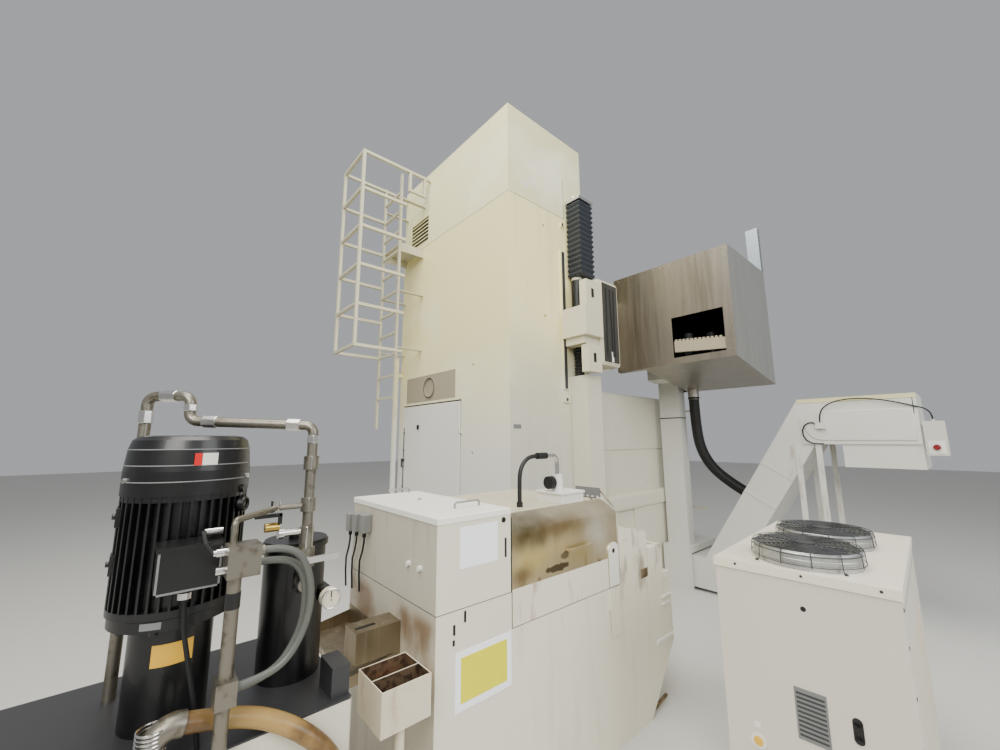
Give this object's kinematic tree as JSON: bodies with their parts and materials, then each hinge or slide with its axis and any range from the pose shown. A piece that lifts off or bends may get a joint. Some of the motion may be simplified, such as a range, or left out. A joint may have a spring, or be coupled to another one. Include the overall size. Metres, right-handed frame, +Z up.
{
  "type": "vertical lathe",
  "caption": "Single column vertical lathe with a raised tool magazine, chip conveyor, coolant unit with a high pressure pump, chiller and a caged ladder.",
  "frame": {"origin": "on the floor, under the axis of the table", "axes": "+Z up; the operator stands at -Y, the column is at +Y, the magazine, conveyor and coolant units are at -X"},
  "size_m": [5.227, 7.06, 5.36],
  "materials": {
    "column_cream": "satin",
    "head_cream": "satin",
    "enclosure_grey": "gloss",
    "cabinet_white": "satin",
    "conveyor_cream": "satin",
    "brown_panel": "satin",
    "door_grey": "satin",
    "ladder_white": "satin",
    "stainless": "brushed",
    "machined_steel": "machined",
    "screw_steel": "ground",
    "cast_grey": "painted casting",
    "bellows_charcoal": "coated cloth",
    "boot_rubber": "matte",
    "motor_black": "satin",
    "pump_black": "satin",
    "pipe_steel": "dull",
    "hose_black": "matte",
    "hose_grey": "matte",
    "hose_brown": "matte",
    "cable_black": "matte",
    "gauge_face": "matte",
    "box_grey": "matte",
    "button_red": "gloss",
    "chiller_white": "satin",
    "chiller_side": "satin",
    "galvanised": "galvanised",
    "fan_dark": "matte",
    "pump_grey": "satin",
    "rust_box": "worn"
  },
  "bodies": {
    "machine": {"base_casting": "cast_grey", "column": "column_cream", "column_head": "head_cream", "window_panel": "brown_panel", "access_ladder": "ladder_white", "lift_screws": "screw_steel", "enclosure_walls": "enclosure_grey", "enclosure_front": "enclosure_grey", "main_motor": "cast_grey", "magazine_guard": "stainless", "magazine_frame": "conveyor_cream", "conduit_hose": "hose_black", "conveyor_body": "conveyor_cream", "belt_cable": "cable_black", "estop_box": "box_grey", "coolant_tank": "cabinet_white", "tank_cabinet": "cabinet_white", "riser_pump": "pump_grey", "riser_hose": "hose_black", "chip_box": "rust_box", "drip_tray": "stainless", "pressure_tank": "cabinet_white", "pump_body": "pump_black", "motor_frame": "motor_black", "motor_fan_cover": "motor_black", "filter_vessel": "motor_black", "pressure_gauge": "gauge_face", "pressure_pipes": "pipe_steel", "hose_upper": "hose_grey", "hose_lower": "hose_grey", "suction_hose": "hose_brown", "chiller_cabinet": "chiller_side", "chiller_lid": "chiller_white", "fan_guards": "galvanised", "upper_bellows": "bellows_charcoal", "lower_bellows": "boot_rubber"},
    "table_body": {"table": "machined_steel", "chuck_jaws": "machined_steel", "spindle_gear": "machined_steel"},
    "pinion": {"drive_pinion": "machined_steel"},
    "rail": {"crossrail": "conveyor_cream"},
    "saddle_body": {"saddle": "conveyor_cream"},
    "ram_body": {"ram": "machined_steel", "tool_holder": "machined_steel"},
    "left_door": {"door_left": "enclosure_grey"},
    "right_door": {"door_right": "enclosure_grey"},
    "back_door": {"rear_door": "door_grey"},
    "latch": {"door_latch": "fan_dark"},
    "carousel": {"tool_carousel": "machined_steel"},
    "belt_shaft": {"conveyor_shaft": "machined_steel"},
    "box_button": {"estop_button": "button_red"},
    "lid": {"cabinet_lid": "chiller_white"},
    "hood": {"coolant_hood": "stainless"},
    "rotor": {"motor_rotor": "machined_steel"},
    "lever": {"valve_lever": "screw_steel"},
    "fan_a": {"fan_front": "fan_dark"},
    "fan_b": {"fan_rear": "fan_dark"},
    "pendant": {"pendant_arm": "enclosure_grey"},
    "panel": {"control_panel": "box_grey"},
    "panel_button": {"panel_estop": "button_red"}
  },
  "joints": [
    {"name": "table_spin", "type": "hinge", "parent": "machine", "child": "table_body", "pos_m": [0, 0, 0.9], "axis": [0, 0, 1], "continuous": true},
    {"name": "pinion_spin", "type": "hinge", "parent": "machine", "child": "pinion", "pos_m": [0, 0.51, 0.74], "axis": [0, 0, 1], "continuous": true},
    {"name": "rail_lift", "type": "slide", "parent": "machine", "child": "rail", "axis": [0, 0, 1], "range_m": [-0.1, 0.6], "deforming": ["upper_bellows", "lower_bellows"]},
    {"name": "saddle_traverse", "type": "slide", "parent": "rail", "child": "saddle_body", "axis": [1, 0, 0], "range_m": [-0.6, 0.7]},
    {"name": "ram_feed", "type": "slide", "parent": "saddle_body", "child": "ram_body", "axis": [0, 0, 1], "range_m": [-0.45, 0.6]},
    {"name": "door_left_slide", "type": "slide", "parent": "machine", "child": "left_door", "axis": [1, 0, 0], "range_m": [-0.62, 0]},
    {"name": "door_right_slide", "type": "slide", "parent": "machine", "child": "right_door", "axis": [1, 0, 0], "range_m": [0, 0.62]},
    {"name": "rear_door_hinge", "type": "hinge", "parent": "machine", "child": "back_door", "pos_m": [-0.302, 2.108, 1.235], "axis": [0, 0, 1], "range_deg": [0, 110]},
    {"name": "door_latch_turn", "type": "hinge", "parent": "back_door", "child": "latch", "pos_m": [0.93, 2.1, 1.545], "axis": [0, 1, 0], "range_deg": [-90, 0]},
    {"name": "carousel_spin", "type": "hinge", "parent": "machine", "child": "carousel", "pos_m": [-1.85, -0.205, 2.72], "axis": [0, 0, 1], "continuous": true},
    {"name": "belt_shaft_spin", "type": "hinge", "parent": "machine", "child": "belt_shaft", "pos_m": [-3.395, -0.86, 1.975], "axis": [0, 1, 0], "continuous": true},
    {"name": "stop_button_press", "type": "slide", "parent": "machine", "child": "box_button", "axis": [0, 1, 0], "range_m": [-0.006, 0], "stiffness_N_per_m": 600},
    {"name": "cabinet_lid_hinge", "type": "hinge", "parent": "machine", "child": "lid", "pos_m": [-1.393, 3.45, 1.436], "axis": [0, 1, 0], "range_deg": [0, 80]},
    {"name": "hood_hinge", "type": "hinge", "parent": "machine", "child": "hood", "pos_m": [-2.226, 2.77, 1.4], "axis": [0, 1, 0], "range_deg": [0, 70]},
    {"name": "motor_rotor_spin", "type": "hinge", "parent": "machine", "child": "rotor", "pos_m": [-2.252, 4.552, 1.5], "axis": [0, 0, 1], "continuous": true},
    {"name": "valve_lever_turn", "type": "hinge", "parent": "machine", "child": "lever", "pos_m": [-2.42, 4.222, 1.41], "axis": [1, 0, 0], "range_deg": [0, 90]},
    {"name": "fan_front_spin", "type": "hinge", "parent": "machine", "child": "fan_a", "pos_m": [-3.30298, 2.10749, 1.23], "axis": [0, 0, 1], "continuous": true},
    {"name": "fan_rear_spin", "type": "hinge", "parent": "machine", "child": "fan_b", "pos_m": [-3.27743, 1.60314, 1.23], "axis": [0, 0, 1], "continuous": true},
    {"name": "pendant_swivel", "type": "hinge", "parent": "machine", "child": "pendant", "pos_m": [1, -1.36, 2.287], "axis": [0, 0, 1], "range_deg": [-45, 45]},
    {"name": "panel_tilt", "type": "hinge", "parent": "pendant", "child": "panel", "pos_m": [1, -2.01, 1.85], "axis": [1, 0, 0], "range_deg": [-15, 15]},
    {"name": "panel_stop_press", "type": "slide", "parent": "panel", "child": "panel_button", "axis": [0, 1, 0], "range_m": [0, 0.006], "stiffness_N_per_m": 600}
  ],
  "couplings": [
    {"joint": "pinion_spin", "follows": "table_spin", "ratio": -4.6667}
  ]
}
